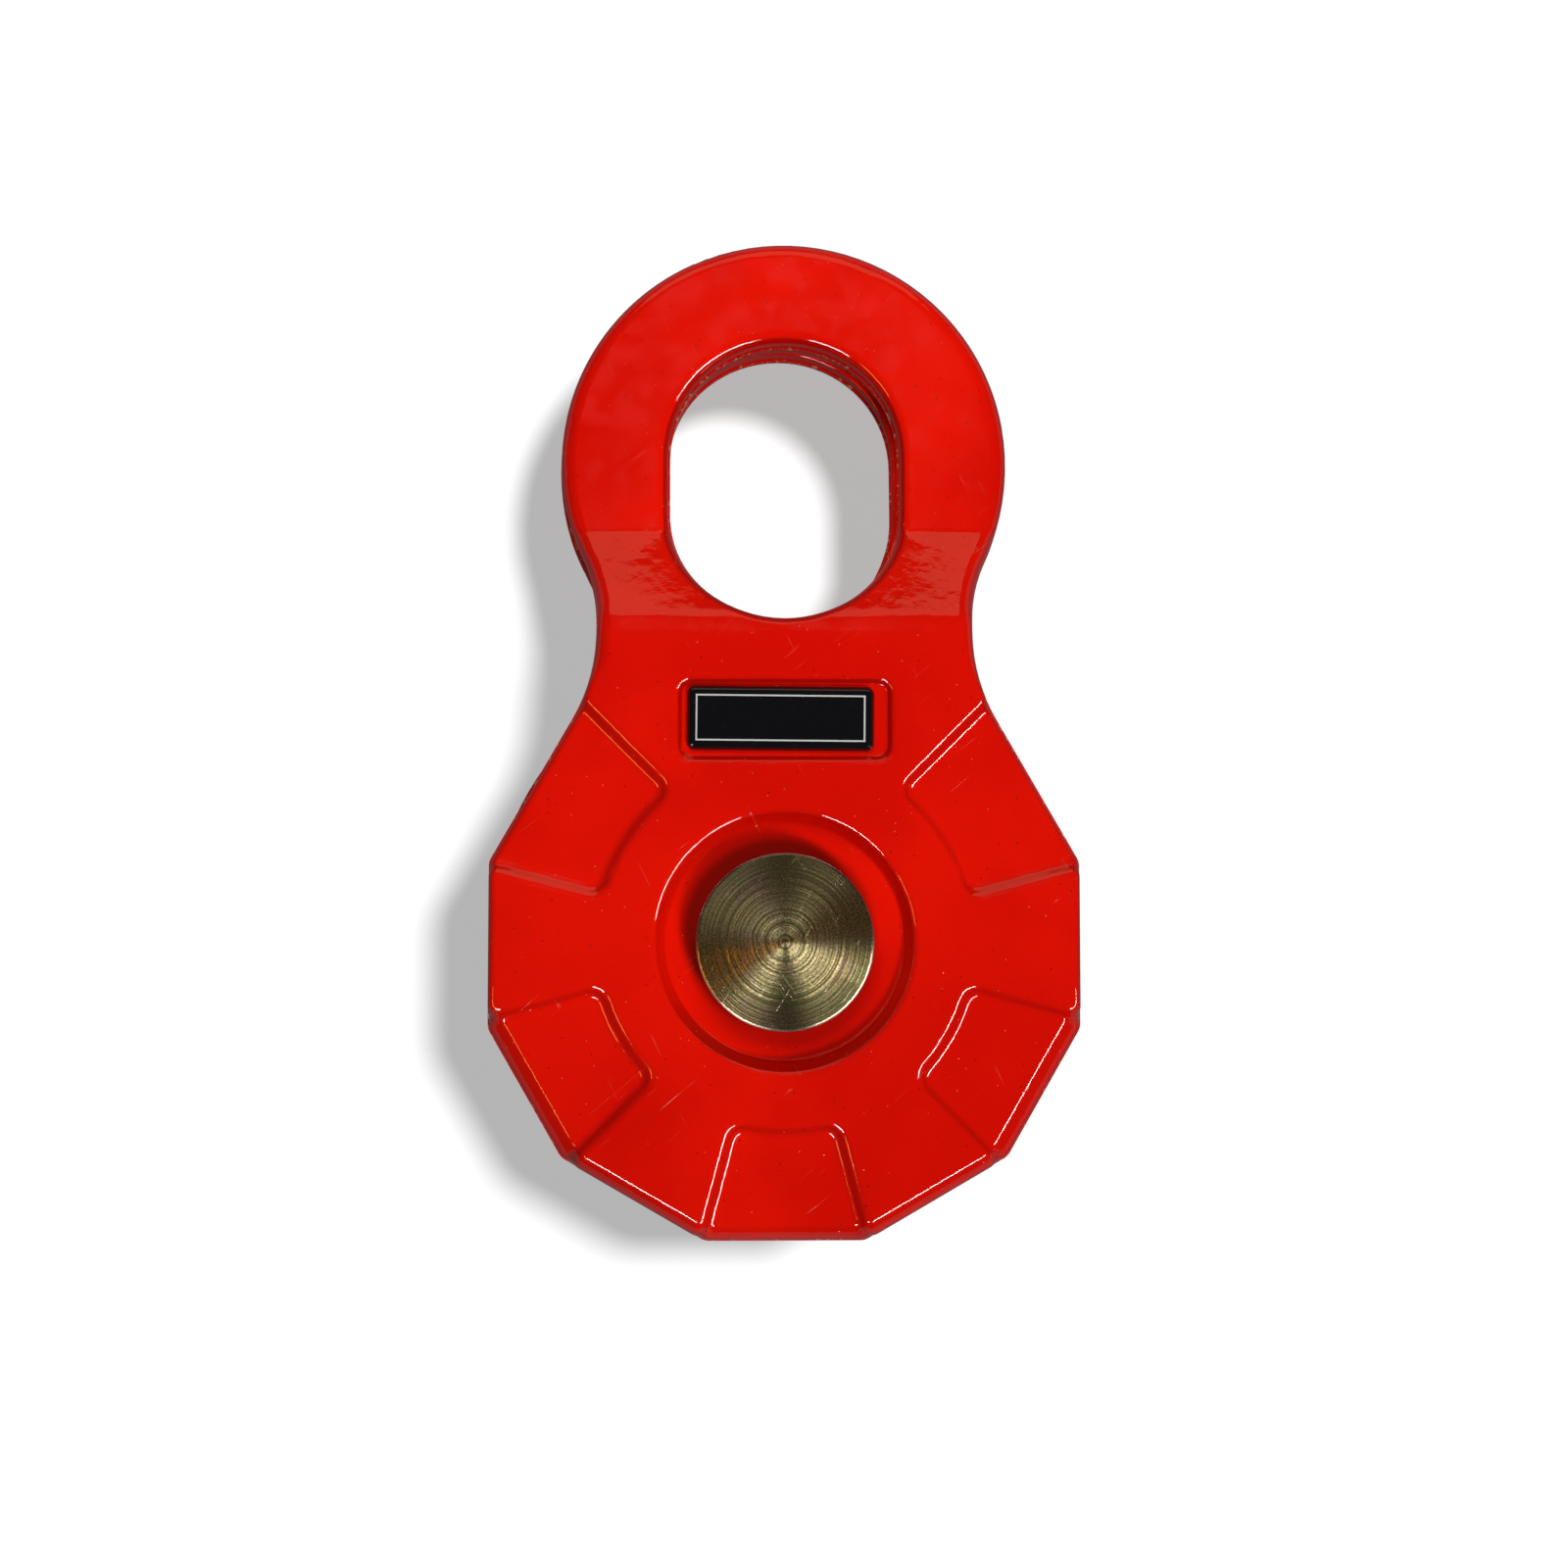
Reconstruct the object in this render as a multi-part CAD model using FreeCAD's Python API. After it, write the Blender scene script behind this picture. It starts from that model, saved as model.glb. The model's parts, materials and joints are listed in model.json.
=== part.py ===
import FreeCAD, Part
import math
import os
from FreeCAD import Vector

# The block lies on its rear cheek: the axle stands along Z through the origin, at the middle
# of the sheave, and the eye points along +Y.

# Rope and sheave
rope_diameter = 14.0
groove_root_radius = 46.0
groove_clearance = 0.2
groove_flank_deg = 15.0
sheave_radius = 62.0
rim_lip_width = 2.2
rim_edge_chamfer = 0.8
rim_bottom_thickness = 6.0
hub_stand_out = 0.5
hub_radius = 21.0
web_thickness = 10.0
web_slope_run = 3.0
web_foot_chamfer = 1.2

# Axle pin
pin_diameter = 25.0
pin_running_clearance = 0.06
pin_head_radius = 18.1
pin_head_thickness = 6.0
pin_head_round = 0.7
pin_centre_pip_radius = 0.8
pin_centre_pip_height = 0.35
pin_under_head_chamfer = 0.4
pin_end_chamfer = 0.8
pin_end_length = 1.2

# Axial fits: each face that turns against another keeps this gap
axial_clearance = 0.1

# Thrust washers, shim washer and circlip
thrust_washer_thickness = 1.0
thrust_washer_radius = 20.0
shim_washer_thickness = 1.0
shim_washer_radius = 20.0
washer_bore_clearance = 0.1
circlip_thickness = 1.2
circlip_groove_depth = 0.6
circlip_groove_play = 0.05
circlip_back_width = 3.2
circlip_tip_width = 2.0
circlip_lug_radius = 2.2
circlip_lug_hole_radius = 1.0
circlip_gap_deg = 30.0

# Bush
bush_wall = 3.5
bush_edge_chamfer = 0.6
grease_groove_width = 3.0
grease_groove_depth = 0.8
grease_spreader_depth = 0.6
grease_groove_count = 3
grease_groove_end_land = 4.0

# Grease drillings and nipple
axial_drilling_diameter = 4.0
cross_drilling_diameter = 3.0
counterbore_diameter = 14.0
counterbore_depth = 9.0
nipple_thread_diameter = 6.0
nipple_thread_length = 5.5
nipple_thread_clearance = 0.05
nipple_hex_across_flats = 8.0
nipple_hex_height = 3.0
nipple_neck_radius = 2.2
nipple_neck_height = 1.8
nipple_head_radius = 3.25
nipple_head_height = 2.6
nipple_mouth_radius = 0.95
nipple_mouth_land = 0.7
nipple_bore_radius = 1.45
nipple_bore_floor = 1.0
nipple_foot_bore_radius = 0.9
nipple_ball_radius = 1.2
nipple_ball_travel = 0.6
nipple_seat_gap = 0.05
nipple_spring_wire = 0.3
nipple_spring_half_turns = 5
nipple_spring_wire_sides = 6
nipple_spring_gap = 0.05

# Cheek plate
plate_thickness = 9.0
body_across_flats = 121.0
lower_flat_swell = 0.8
lower_flat_angles_deg = (-30, -150)
bottom_flat_swell = 0.2
bottom_flat_angles_deg = (-60, -90, -120)
body_corner_round = 3.0
front_edge_round = 2.0
inner_edge_round = 0.8
neck_half_width = 38.7
eye_centre_y = 101.4
eye_ring_radius = 47.6
eye_slot_radius = 24.8
eye_slot_upper_y = 102.7
eye_slot_lower_y = 91.3
eye_slot_front_round = 2.8
eye_slot_inner_round = 0.6
eye_face_gap = 0.5
neck_bend_y = 65.8
eye_bend_y = 86.9
convex_bend_radius = 9.0
concave_bend_radius = 5.0
cheek_offset_deg = 0.6

# Trimmed flash line at the middle of the plate's thickness
flash_stand_out = 0.3
flash_thickness = 0.9
flash_root_depth = 1.5
flash_bend_radius = 7.0

# Edge recesses of the cheek
recess_depth = 2.0
recess_draft_deg = 50.0
recess_inner_radius = 39.7
recess_half_angle_deg = 15.0
recess_flank_inset = 0.6
recess_neck_shift = 4.5
recess_corner_round = 2.0
recess_top_round = 2.5
recess_foot_round = 2.5
recess_angles_deg = (210.0, 270.0, 330.0)
neck_recess_angle_deg = 30.0

# Dish round the pin head
dish_depth = 4.0
dish_floor_radius = 24.6
dish_draft_deg = 25.0
dish_top_round = 2.0
dish_foot_round = 1.2

# Badge and its recess
badge_recess_width = 41.8
badge_recess_height = 14.6
badge_recess_centre_y = 45.3
badge_recess_corner = 2.0
badge_recess_depth = 1.4
badge_recess_draft_deg = 45.0
badge_recess_top_round = 1.8
badge_recess_foot_round = 1.0
badge_width = 38.4
badge_height = 13.2
badge_thickness = 1.3
badge_corner = 1.6
badge_crown_round = 1.0
badge_centre = (-0.9, 45.6)
badge_turn_deg = -0.5

# Section of the rim, worked out from the rope
groove_radius = rope_diameter / 2 + groove_clearance
groove_flank = math.radians(groove_flank_deg)
flank_start_r = groove_root_radius + groove_radius * (1 - math.sin(groove_flank))
flank_start_z = groove_radius * math.cos(groove_flank)
groove_edge_z = flank_start_z + (sheave_radius - flank_start_r) * math.tan(groove_flank)
rim_face_z = groove_edge_z + rim_lip_width

# Levels along the axle, worked out from the stack on the pin
hub_face_z = rim_face_z + hub_stand_out
washer_inner_z = hub_face_z + axial_clearance
cheek_inner_z = washer_inner_z + thrust_washer_thickness + axial_clearance
cheek_outer_z = cheek_inner_z + plate_thickness
dish_floor_z = cheek_outer_z - dish_depth
head_under_z = dish_floor_z + axial_clearance
head_top_z = head_under_z + pin_head_thickness
shim_face_z = -(dish_floor_z + axial_clearance)
circlip_face_z = shim_face_z - shim_washer_thickness - axial_clearance
groove_near_z = circlip_face_z + circlip_groove_play
groove_far_z = circlip_face_z - circlip_thickness - circlip_groove_play
pin_end_z = groove_far_z - pin_end_length
counterbore_floor_z = pin_end_z + counterbore_depth
eye_inner_z = eye_face_gap / 2
eye_outer_z = eye_inner_z + plate_thickness

# Radii that follow from the fits
pin_radius = pin_diameter / 2
bore_radius = pin_radius + pin_running_clearance
bush_outer_radius = bore_radius + bush_wall
washer_bore_radius = pin_radius + washer_bore_clearance
circlip_seat_radius = pin_radius - circlip_groove_depth
body_apothem = body_across_flats / 2
recess_floor_z = cheek_outer_z - recess_depth
cut_margin = 1.0
outside = 2 * (eye_centre_y + eye_ring_radius)
same_place = 0.001


def polar(radius, angle_deg, z=0.0):
    angle = math.radians(angle_deg)
    return Vector(radius * math.cos(angle), radius * math.sin(angle), z)


def line(start, end):
    return Part.LineSegment(start, end).toShape()


def arc(start, middle, end):
    return Part.Arc(start, middle, end).toShape()


def corner_arc(centre, start, end):
    """Short arc from start to end about a centre."""
    middle = (start - centre) + (end - centre)
    middle.normalize()
    return arc(start, centre + middle * start.distanceToPoint(centre), end)


def polygon_face(points):
    return Part.Face(Part.makePolygon(points + [points[0]]))


def turned(points):
    """Body of revolution about the axle from (radius, height) points."""
    face = polygon_face([Vector(r, 0, z) for r, z in points])
    return face.revolve(Vector(0, 0, 0), Vector(0, 0, 1), 360)


def tube(outer_radius, inner_radius, low_z, high_z):
    return turned([(inner_radius, low_z), (outer_radius, low_z),
                   (outer_radius, high_z), (inner_radius, high_z)])


def level_edges(shape, z, test):
    """Edges that lie in the plane at height z and pass a test on a point of theirs."""
    found = []
    for edge in shape.Edges:
        box = edge.BoundBox
        if abs(box.ZMin - z) < same_place and abs(box.ZMax - z) < same_place:
            middle = edge.valueAt((edge.FirstParameter + edge.LastParameter) / 2)
            if test(middle):
                found.append(edge)
    return found


# Cheek outline: the lower eight corners of a twelve-sided body, a neck that narrows in a
# hollow arc, and the round head of the eye
def neck_arc():
    """Centre and radius of the right neck arc: it touches the 30 degree flat, the circle of
    the eye and the neck's half width."""
    slope = math.radians(neck_recess_angle_deg)
    gain = (1 - math.cos(slope)) / math.sin(slope)
    base = (body_apothem - neck_half_width * math.cos(slope)) / math.sin(slope) - eye_centre_y
    a = gain ** 2
    b = 2 * (neck_half_width + base * gain - eye_ring_radius)
    c = neck_half_width ** 2 + base ** 2 - eye_ring_radius ** 2
    radius = (-b - math.sqrt(b * b - 4 * a * c)) / (2 * a)
    centre = Vector(neck_half_width + radius, base + gain * radius + eye_centre_y, 0)
    return centre, radius


def flat_distance(angle_deg):
    """Distance of a flat of the body from the axle."""
    if angle_deg in lower_flat_angles_deg:
        return body_apothem + lower_flat_swell
    if angle_deg in bottom_flat_angles_deg:
        return body_apothem + bottom_flat_swell
    return body_apothem


def flats_crossing(first_deg, second_deg, inset):
    """Where two neighbouring flats would cross if both were set in by the inset."""
    first = flat_distance(first_deg) - inset
    second = flat_distance(second_deg) - inset
    a = math.radians(first_deg)
    b = math.radians(second_deg)
    x = (first * math.sin(b) - second * math.sin(a)) / math.sin(b - a)
    y = (second * math.cos(a) - first * math.cos(b)) / math.sin(b - a)
    return Vector(x, y, 0)


def mirrored(point):
    return Vector(-point.x, point.y, point.z)


def cheek_outline(grow=0.0):
    centre, radius = neck_arc()
    eye_centre = Vector(0, eye_centre_y, 0)
    eye_radius = eye_ring_radius + grow
    flat_touch = centre - polar(radius - grow, neck_recess_angle_deg)
    eye_touch = eye_centre + (centre - eye_centre) * (eye_radius / (eye_ring_radius + radius))
    neck_point = Vector(neck_half_width + grow, centre.y, 0)

    flats = range(30, -240, -30)
    edges = []
    start = flat_touch
    for first, second in zip(flats, flats[1:]):
        round_centre = flats_crossing(first, second, body_corner_round)
        before = round_centre + polar(body_corner_round + grow, first)
        after = round_centre + polar(body_corner_round + grow, second)
        edges.append(line(start, before))
        edges.append(corner_arc(round_centre, before, after))
        start = after
    edges.append(line(start, mirrored(flat_touch)))
    edges.append(arc(mirrored(flat_touch), mirrored(neck_point), mirrored(eye_touch)))
    edges.append(arc(mirrored(eye_touch), eye_centre + Vector(0, eye_radius, 0), eye_touch))
    edges.append(arc(eye_touch, neck_point, flat_touch))
    return Part.Wire(edges)


def joggled_slab(cover, thickness, convex_radius, concave_radius):
    """Slab of even thickness across the whole block, stepped in from the body to the eye.
    Its front lies a cover deeper than the front of the cheek."""
    slope = math.atan2(cheek_outer_z - eye_outer_z, eye_bend_y - neck_bend_y)
    bends = []
    for depth, y, z in ((cover, neck_bend_y, cheek_outer_z), (cover, eye_bend_y, eye_outer_z),
                        (cover + thickness, eye_bend_y, eye_outer_z),
                        (cover + thickness, neck_bend_y, cheek_outer_z)):
        bends.append((y - depth * math.tan(slope / 2), z - depth))
    section = [(-outside, bends[0][1]), bends[0], bends[1], (outside, bends[1][1]),
               (outside, bends[2][1]), bends[2], bends[3], (-outside, bends[3][1])]
    face = polygon_face([Vector(-outside, y, z) for y, z in section])
    slab = face.extrude(Vector(2 * outside, 0, 0))

    def bend_edges(places):
        return [e for e in slab.Edges for y, z in places
                if e.BoundBox.XLength > outside and e.distToShape(Part.Vertex(0, y, z))[0] < same_place]

    slab = slab.makeFillet(convex_radius, bend_edges([bends[0], bends[2]]))
    return slab.makeFillet(concave_radius, bend_edges([bends[1], bends[3]]))


def recess_wire(grow, z, left_shift, right_shift):
    """Outline of an edge recess that opens along +X, grown by the draft of its walls."""
    inner = recess_inner_radius - grow
    corner = recess_corner_round + grow
    edges = []
    ends = []
    for side, shift in ((1, left_shift), (-1, right_shift)):
        along = polar(1, side * recess_half_angle_deg)
        outward = polar(1, side * (recess_half_angle_deg + 90))
        offset = shift - recess_flank_inset + grow
        reach = math.sqrt((inner + corner) ** 2 - (offset - corner) ** 2)
        centre = along * reach + outward * (offset - corner)
        on_arc = centre * (inner / (inner + corner))
        on_flank = centre + outward * corner
        ends.append((centre, on_arc, on_flank, on_flank + along * body_apothem))
    (centre_l, arc_l, flank_l, far_l), (centre_r, arc_r, flank_r, far_r) = ends
    edges.append(line(far_l, flank_l))
    edges.append(corner_arc(centre_l, flank_l, arc_l))
    edges.append(corner_arc(Vector(0, 0, 0), arc_l, arc_r))
    edges.append(corner_arc(centre_r, arc_r, flank_r))
    edges.append(line(flank_r, far_r))
    edges.append(line(far_r, far_l))
    wire = Part.Wire(edges)
    wire.translate(Vector(0, 0, z))
    return wire


def recess_cutter(angle_deg, left_shift, right_shift):
    rise = recess_depth + cut_margin
    top_grow = rise * math.tan(math.radians(recess_draft_deg))
    low = recess_wire(0, recess_floor_z, left_shift, right_shift)
    high = recess_wire(top_grow, recess_floor_z + rise, left_shift, right_shift)
    cutter = Part.makeLoft([low, high], True, True)
    cutter.rotate(Vector(0, 0, 0), Vector(0, 0, 1), angle_deg)
    return cutter


def dish_cutter():
    rise = dish_depth + cut_margin
    top_radius = dish_floor_radius + rise * math.tan(math.radians(dish_draft_deg))
    return Part.makeCone(dish_floor_radius, top_radius, rise, Vector(0, 0, dish_floor_z))


def rounded_rectangle(width, height, corner, z):
    x = width / 2
    y = height / 2
    centres = [Vector(x - corner, y - corner, z), Vector(corner - x, y - corner, z),
               Vector(corner - x, corner - y, z), Vector(x - corner, corner - y, z)]
    points = [(c + polar(corner, 90 * i), c + polar(corner, 90 * i + 90)) for i, c in enumerate(centres)]
    edges = []
    for index, centre in enumerate(centres):
        edges.append(corner_arc(centre, *points[index]))
        edges.append(line(points[index][1], points[(index + 1) % 4][0]))
    return Part.Wire(edges)


def badge_recess_cutter():
    rise = badge_recess_depth + cut_margin
    grow = 2 * rise * math.tan(math.radians(badge_recess_draft_deg))
    floor_z = cheek_outer_z - badge_recess_depth
    low = rounded_rectangle(badge_recess_width, badge_recess_height, badge_recess_corner, floor_z)
    high = rounded_rectangle(badge_recess_width + grow, badge_recess_height + grow,
                             badge_recess_corner + grow / 2, floor_z + rise)
    cutter = Part.makeLoft([low, high], True, True)
    cutter.translate(Vector(0, badge_recess_centre_y, 0))
    return cutter


def slot_outline(grow=0.0):
    radius = eye_slot_radius + grow
    left = Vector(-radius, 0, 0)
    right = Vector(radius, 0, 0)
    upper = Vector(0, eye_slot_upper_y, 0)
    lower = Vector(0, eye_slot_lower_y, 0)
    return Part.Wire([arc(upper + right, upper + Vector(0, radius, 0), upper + left),
                      line(upper + left, lower + left),
                      arc(lower + left, lower - Vector(0, radius, 0), lower + right),
                      line(lower + right, upper + right)])


def through_prism(outline):
    """Everything inside an outline, over more than the height of one cheek."""
    prism = Part.Face(outline).extrude(Vector(0, 0, 2 * cheek_outer_z))
    prism.translate(Vector(0, 0, -cheek_outer_z / 2))
    return prism


def in_body(point):
    return math.hypot(point.x, point.y) < body_apothem - same_place


def in_badge_recess(point):
    return (abs(point.x) < badge_recess_width / 2 + recess_depth
            and abs(point.y - badge_recess_centre_y) < badge_recess_height / 2 + recess_depth)


def in_dish(point):
    return math.hypot(point.x, point.y) < recess_inner_radius - 2 * recess_depth


def at_dish_wall(point):
    return math.hypot(point.x, point.y) > pin_head_radius


def in_edge_recess(point):
    return in_body(point) and not in_badge_recess(point) and not in_dish(point)


def rounded_recesses(plate):
    """Soft forged edges of the edge recesses, the dish and the badge recess."""
    badge_floor_z = cheek_outer_z - badge_recess_depth
    rounds = [(recess_foot_round, recess_floor_z, in_edge_recess),
              (recess_top_round, cheek_outer_z, in_edge_recess),
              (dish_foot_round, dish_floor_z, at_dish_wall),
              (dish_top_round, cheek_outer_z, in_dish),
              (badge_recess_foot_round, badge_floor_z, in_badge_recess),
              (badge_recess_top_round, cheek_outer_z, in_badge_recess)]
    for radius, z, place in rounds:
        plate = plate.makeFillet(radius, level_edges(plate, z, place))
    return plate


def middle_z(y):
    """Height of the middle of the plate's thickness at a place along the block."""
    step = min(max((y - neck_bend_y) / (eye_bend_y - neck_bend_y), 0), 1)
    return (cheek_inner_z + cheek_outer_z) / 2 - step * (cheek_outer_z - eye_outer_z)


def contour_edges(plate, contour, front):
    """Edges that follow a contour along the plate's front, or else along its inner face."""
    found = []
    for edge in plate.Edges:
        box = edge.BoundBox
        upright = box.XLength < same_place and box.YLength < same_place
        middle = edge.valueAt((edge.FirstParameter + edge.LastParameter) / 2)
        on_contour = contour.distToShape(Part.Vertex(middle.x, middle.y, 0))[0] < same_place
        if on_contour and not upright and (middle.z > middle_z(middle.y)) == front:
            found.append(edge)
    return found


def flash_lines():
    """Low ribs left by the trimmed flash, round the outline and round the slot."""
    cover = (plate_thickness - flash_thickness) / 2
    slab = joggled_slab(cover, flash_thickness, flash_bend_radius, flash_bend_radius)
    outer_band = through_prism(cheek_outline(flash_stand_out))
    outer_band = outer_band.cut(through_prism(cheek_outline(-flash_root_depth)))
    slot_band = through_prism(slot_outline(flash_root_depth))
    slot_band = slot_band.cut(through_prism(slot_outline(-flash_stand_out)))
    return [slab.common(outer_band), slab.common(slot_band)]


def cheek():
    """The forging, with its front up."""
    outline = cheek_outline()
    slot = slot_outline()
    plate = joggled_slab(0, plate_thickness, convex_bend_radius, concave_bend_radius)
    plate = plate.common(through_prism(outline))
    plate = plate.cut(through_prism(slot))
    plate = plate.cut(Part.makeCylinder(bore_radius, 2 * cheek_outer_z))

    cutters = [recess_cutter(angle, 0, 0) for angle in recess_angles_deg]
    cutters.append(recess_cutter(neck_recess_angle_deg, recess_neck_shift, 0))
    cutters.append(recess_cutter(180 - neck_recess_angle_deg, 0, recess_neck_shift))
    cutters += [dish_cutter(), badge_recess_cutter()]
    for cutter in cutters:
        plate = plate.cut(cutter)

    plate = rounded_recesses(plate)
    plate = plate.makeFillet(front_edge_round, contour_edges(plate, outline, True))
    plate = plate.makeFillet(inner_edge_round, contour_edges(plate, outline, False))
    plate = plate.makeFillet(eye_slot_front_round, contour_edges(plate, slot, True))
    plate = plate.makeFillet(eye_slot_inner_round, contour_edges(plate, slot, False))
    return plate.fuse(flash_lines()).Solids[0]


def rear_cheek(forging):
    """The same forging turned over, swung a little to the side as it hangs on the pin."""
    turned_over = forging.copy()
    turned_over.rotate(Vector(0, 0, 0), Vector(0, 1, 0), 180)
    turned_over.rotate(Vector(0, 0, 0), Vector(0, 0, 1), cheek_offset_deg)
    return turned_over


def badge():
    wire = rounded_rectangle(badge_width, badge_height, badge_corner, 0)
    plate = Part.Face(wire).extrude(Vector(0, 0, badge_thickness))
    plate = plate.makeFillet(badge_crown_round, level_edges(plate, badge_thickness, lambda point: True))
    plate.rotate(Vector(0, 0, 0), Vector(0, 0, 1), badge_turn_deg)
    plate.translate(Vector(*badge_centre, cheek_outer_z - badge_recess_depth))
    return plate


# Sheave and bush
def circle_edges(shape, places):
    """Circles about the axle that pass through (radius, height) places on either face."""
    found = []
    for edge in shape.Edges:
        if isinstance(edge.Curve, Part.Circle):
            for radius, z in places:
                same_radius = abs(edge.Curve.Radius - radius) < same_place
                if same_radius and abs(abs(edge.Curve.Center.z) - z) < same_place:
                    found.append(edge)
    return found


def sheave():
    web_z = web_thickness / 2
    rim_inner_radius = groove_root_radius - rim_bottom_thickness
    half = [(bush_outer_radius, hub_face_z), (hub_radius, hub_face_z),
            (hub_radius + web_slope_run, web_z), (rim_inner_radius - web_slope_run, web_z),
            (rim_inner_radius, rim_face_z), (sheave_radius, rim_face_z),
            (sheave_radius, groove_edge_z), (flank_start_r, flank_start_z)]
    upper = [Vector(r, 0, z) for r, z in half]
    lower = [Vector(r, 0, -z) for r, z in half]
    edges = [line(a, b) for a, b in zip(upper, upper[1:])]
    edges.append(arc(upper[-1], Vector(groove_root_radius, 0, 0), lower[-1]))
    edges += [line(b, a) for a, b in reversed(list(zip(lower, lower[1:])))]
    edges.append(line(lower[0], upper[0]))
    wheel = Part.Face(Part.Wire(edges)).revolve(Vector(0, 0, 0), Vector(0, 0, 1), 360)
    wheel = wheel.makeChamfer(web_foot_chamfer, circle_edges(wheel, half[2:4]))
    return wheel.makeChamfer(rim_edge_chamfer, circle_edges(wheel, half[4:7]))


def sheave_bush():
    """Bronze bush as wide as the hub, with a ring of grease and grooves that spread it."""
    chamfer = bush_edge_chamfer
    bush = turned([(bore_radius, -hub_face_z + chamfer), (bore_radius + chamfer, -hub_face_z),
                   (bush_outer_radius, -hub_face_z), (bush_outer_radius, hub_face_z),
                   (bore_radius + chamfer, hub_face_z), (bore_radius, hub_face_z - chamfer)])
    half_width = grease_groove_width / 2
    bush = bush.cut(tube(bore_radius + grease_groove_depth, pin_radius, -half_width, half_width))
    length = 2 * (hub_face_z - grease_groove_end_land)
    spreader_reach = bore_radius + grease_spreader_depth - half_width
    for index in range(grease_groove_count):
        place = polar(spreader_reach, index * 360 / grease_groove_count, -length / 2)
        bush = bush.cut(Part.makeCylinder(half_width, length, place))
    return bush


# Axle pin and what it carries
def axle_pin():
    thread_radius = nipple_thread_diameter / 2 + nipple_thread_clearance
    thread_top_z = counterbore_floor_z + nipple_thread_length + nipple_thread_clearance
    cross_radius = cross_drilling_diameter / 2
    pin = turned([(0, head_top_z + pin_centre_pip_height), (pin_centre_pip_radius, head_top_z),
                  (pin_head_radius, head_top_z), (pin_head_radius, head_under_z + pin_under_head_chamfer),
                  (pin_head_radius - pin_under_head_chamfer, head_under_z), (pin_radius, head_under_z),
                  (pin_radius, groove_near_z), (circlip_seat_radius, groove_near_z),
                  (circlip_seat_radius, groove_far_z), (pin_radius, groove_far_z),
                  (pin_radius, pin_end_z + pin_end_chamfer), (pin_radius - pin_end_chamfer, pin_end_z),
                  (counterbore_diameter / 2, pin_end_z), (counterbore_diameter / 2, counterbore_floor_z),
                  (thread_radius, counterbore_floor_z), (thread_radius, thread_top_z),
                  (axial_drilling_diameter / 2, thread_top_z), (axial_drilling_diameter / 2, cross_radius),
                  (0, cross_radius + axial_drilling_diameter / 2)])
    pin = pin.cut(Part.makeCylinder(cross_radius, pin_diameter, Vector(0, 0, 0), Vector(1, 0, 0)))
    return pin.makeFillet(pin_head_round, circle_edges(pin, [(pin_head_radius, head_top_z)]))


def circlip():
    inner = circlip_seat_radius
    outer = inner + (circlip_back_width + circlip_tip_width) / 2
    shift = (circlip_back_width - circlip_tip_width) / 2
    lug_reach = inner + circlip_lug_radius
    lug_deg = circlip_gap_deg / 2 + math.degrees(math.asin(circlip_lug_radius / lug_reach))
    ring = Part.makeCylinder(outer, circlip_thickness, Vector(0, -shift, 0))
    lugs = [polar(lug_reach, 90 + side * lug_deg) for side in (1, -1)]
    for lug in lugs:
        ring = ring.fuse(Part.makeCylinder(circlip_lug_radius, circlip_thickness, lug))
    ring = ring.cut(Part.makeCylinder(inner, circlip_thickness))
    gap_sides = [polar(2 * outer, 90 + side * circlip_gap_deg / 2) for side in (-1, 1)]
    gap = polygon_face([Vector(0, 0, 0)] + gap_sides)
    ring = ring.cut(gap.extrude(Vector(0, 0, circlip_thickness)))
    for lug in lugs:
        ring = ring.cut(Part.makeCylinder(circlip_lug_hole_radius, circlip_thickness, lug))
    ring = ring.removeSplitter()
    ring.translate(Vector(0, 0, circlip_face_z - circlip_thickness))
    return ring


# Grease nipple, its ball and spring. Heights are counted from the counterbore's floor
# towards the pin's rear end.
nipple_head_start = nipple_hex_height + nipple_neck_height
nipple_top = nipple_head_start + nipple_head_height
nipple_seat = nipple_top - nipple_mouth_land
ball_seat_drop = math.sqrt(nipple_ball_radius ** 2 - nipple_mouth_radius ** 2)
ball_height = nipple_seat - ball_seat_drop - nipple_seat_gap


def nipple_z(height):
    return counterbore_floor_z - height


def nipple_turned(points):
    return turned([(r, nipple_z(height)) for r, height in points])


def grease_nipple():
    hex_radius = nipple_hex_across_flats / 2 / math.cos(math.radians(30))
    thread_radius = nipple_thread_diameter / 2
    body = nipple_turned([(0, 0), (nipple_hex_across_flats / 2, nipple_hex_height),
                          (nipple_neck_radius, nipple_hex_height + nipple_neck_height / 2),
                          (nipple_neck_radius, nipple_head_start),
                          (nipple_head_radius, nipple_head_start + nipple_head_height / 3),
                          (nipple_head_radius, nipple_head_start + nipple_head_height / 2),
                          (nipple_neck_radius, nipple_top), (0, nipple_top)])
    thread = tube(thread_radius, nipple_foot_bore_radius, nipple_z(0), nipple_z(-nipple_thread_length))
    hexagon = polygon_face([polar(hex_radius, 60 * i, nipple_z(nipple_hex_height)) for i in range(6)])
    body = body.fuse([hexagon.extrude(Vector(0, 0, nipple_hex_height)), thread]).removeSplitter()
    passage = nipple_turned([(0, -nipple_thread_length), (nipple_foot_bore_radius, -nipple_thread_length),
                             (nipple_foot_bore_radius, nipple_bore_floor),
                             (nipple_bore_radius, nipple_bore_floor),
                             (nipple_bore_radius, nipple_seat), (nipple_mouth_radius, nipple_seat),
                             (nipple_mouth_radius, nipple_top), (0, nipple_top)])
    return body.cut(passage)


def grease_nipple_ball():
    return Part.makeSphere(nipple_ball_radius, Vector(0, 0, nipple_z(ball_height)))


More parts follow.
